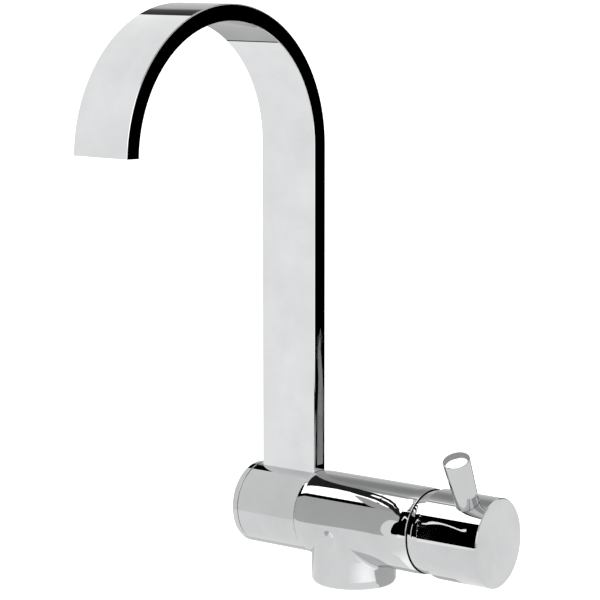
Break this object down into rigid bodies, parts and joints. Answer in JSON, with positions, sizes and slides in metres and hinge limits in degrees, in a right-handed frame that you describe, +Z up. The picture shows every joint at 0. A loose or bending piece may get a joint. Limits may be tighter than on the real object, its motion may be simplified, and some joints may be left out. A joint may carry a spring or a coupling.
{
  "type": "three way filtered water tap",
  "caption": "Kitchen tap with a horizontal barrel on a round pedestal, a flat arched spout that folds down, and a lever cap that turns and tilts.",
  "frame": {"origin": "centre of the pedestal's underside, at the mouth of the fixing stud's hole", "axes": "+Z up; +X along the barrel to the lever cap; the user and the spout's mouth are on the -Y side"},
  "size_m": [0.1524, 0.1591, 0.2864],
  "materials": {
    "chrome": "polished",
    "brass": "turned",
    "steel": "satin",
    "rubber": "matte",
    "ceramic": "lapped ceramic",
    "plastic": "moulded"
  },
  "bodies": {
    "base": {"tap_body": "chrome", "base_seal": "rubber", "spout_journal": "brass", "journal_o_rings": "rubber", "glide_rings": "plastic", "journal_washer": "steel", "journal_screw": "steel", "cartridge_base": "plastic", "port_seals": "rubber", "fixed_disc": "ceramic", "cartridge_housing": "plastic", "cartridge_nut": "brass", "cover_ring": "chrome"},
    "spout": {"spout_sleeve": "chrome", "spout_tube": "chrome", "outlet_insert": "plastic", "end_cap": "chrome"},
    "turret": {"turret": "plastic", "turret_o_ring": "rubber", "pivot_pin": "steel"},
    "handle": {"handle_cap": "chrome", "lever_pin": "chrome", "spindle": "brass", "grub_screw": "steel"},
    "valve_disc": {"moving_disc": "ceramic", "disc_carrier": "plastic"}
  },
  "joints": [
    {"name": "spout_fold", "type": "hinge", "parent": "base", "child": "spout", "pos_m": [-0.0405, 0, 0.0322], "axis": [1, 0, 0], "range_deg": [0, 90]},
    {"name": "lever_turn", "type": "hinge", "parent": "base", "child": "turret", "pos_m": [0.05185, 0, 0.0322], "axis": [1, 0, 0], "range_deg": [-50, 50]},
    {"name": "lever_tilt", "type": "hinge", "parent": "turret", "child": "handle", "pos_m": [0.05185, 0, 0.0322], "axis": [0, 0.8965, 0.4431], "range_deg": [0, 25]},
    {"name": "disc_slide", "type": "slide", "parent": "turret", "child": "valve_disc", "axis": [0, -0.4431, 0.8965], "range_m": [0, 0.0039]}
  ],
  "couplings": [
    {"joint": "disc_slide", "follows": "lever_tilt", "m_per_rad": 0.0087171}
  ]
}
